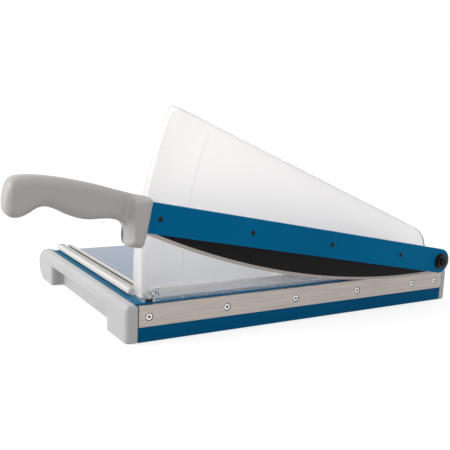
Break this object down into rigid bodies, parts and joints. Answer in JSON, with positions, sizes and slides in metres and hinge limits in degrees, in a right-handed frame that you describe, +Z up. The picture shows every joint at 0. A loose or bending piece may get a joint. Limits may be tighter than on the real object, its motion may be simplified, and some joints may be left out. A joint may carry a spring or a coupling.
{
  "type": "guillotine paper trimmer",
  "caption": "Guillotine paper trimmer: flat table with a guide rail and a fixed cutting edge, hinged arm with a curved knife and a grip, and a clear guard that clamps the paper.",
  "frame": {"origin": "on the desk, under the middle of the whole machine's box", "axes": "+Z up, +Y from the user to the pivot along the cutting edge, +X towards the cutting side"},
  "size_m": [0.3258, 0.5668, 0.2342],
  "materials": {
    "table_blue": "semi-gloss stoved paint with a white printed grid",
    "base_blue": "satin stoved paint",
    "arm_blue": "satin stoved paint",
    "bracket_paint": "satin paint",
    "cross_zinc": "zinc plate",
    "edge_steel": "ground, warm grey",
    "bright_screw": "zinc plate",
    "dark_screw": "dark phosphate",
    "black_screw": "black oxide",
    "pin_chrome": "polished",
    "cap_grey": "moulded, light grey",
    "foot_rubber": "matt black",
    "guide_grey": "extruded, cream grey",
    "scale_white": "white with dark graduations",
    "bush_bronze": "sintered bronze",
    "guard_clear": "clear sheet, slightly hazy",
    "clamp_clear": "clear bar",
    "knife_black": "black coated steel with a bright ground bevel",
    "handle_grey": "moulded, warm grey, fine grain"
  },
  "bodies": {
    "base": {"table_plate": "table_blue", "side_beam": "base_blue", "counter_blade": "edge_steel", "counter_blade_screws": "bright_screw", "front_end_cap": "cap_grey", "rear_end_cap": "cap_grey", "front_cross_member": "cross_zinc", "rear_cross_member": "cross_zinc", "end_cap_screws": "dark_screw", "rubber_feet": "foot_rubber", "guide_rail": "guide_grey", "scale_strip": "scale_white", "guide_rail_screws": "bright_screw", "pivot_bracket": "bracket_paint", "bracket_screws": "dark_screw", "pivot_bolt": "pin_chrome", "thrust_washer": "bush_bronze", "pivot_washer": "black_screw", "disc_springs": "dark_screw", "pivot_nut": "dark_screw", "guide_pins": "pin_chrome", "cushion_rings": "foot_rubber"},
    "clamp_guard": {"guard_sheet": "guard_clear", "clamp_foot": "clamp_clear"},
    "knife_arm": {"arm_bar": "arm_blue", "arm_bush": "bush_bronze", "knife_blade": "knife_black", "knife_screws": "black_screw", "handle_outer_shell": "handle_grey", "handle_inner_cover": "handle_grey", "handle_screws": "dark_screw"}
  },
  "joints": [
    {"name": "arm_pivot", "type": "hinge", "parent": "base", "child": "knife_arm", "pos_m": [0.1433, 0.25738, 0.0544], "axis": [-1, 0, 0], "range_deg": [-11.9, 45]},
    {"name": "clamp_press", "type": "slide", "parent": "base", "child": "clamp_guard", "axis": [0, 0, 1], "range_m": [-0.0018, 0], "stiffness_N_per_m": 3000, "springref_m": 0.002, "deforming": ["cushion_rings"]}
  ]
}
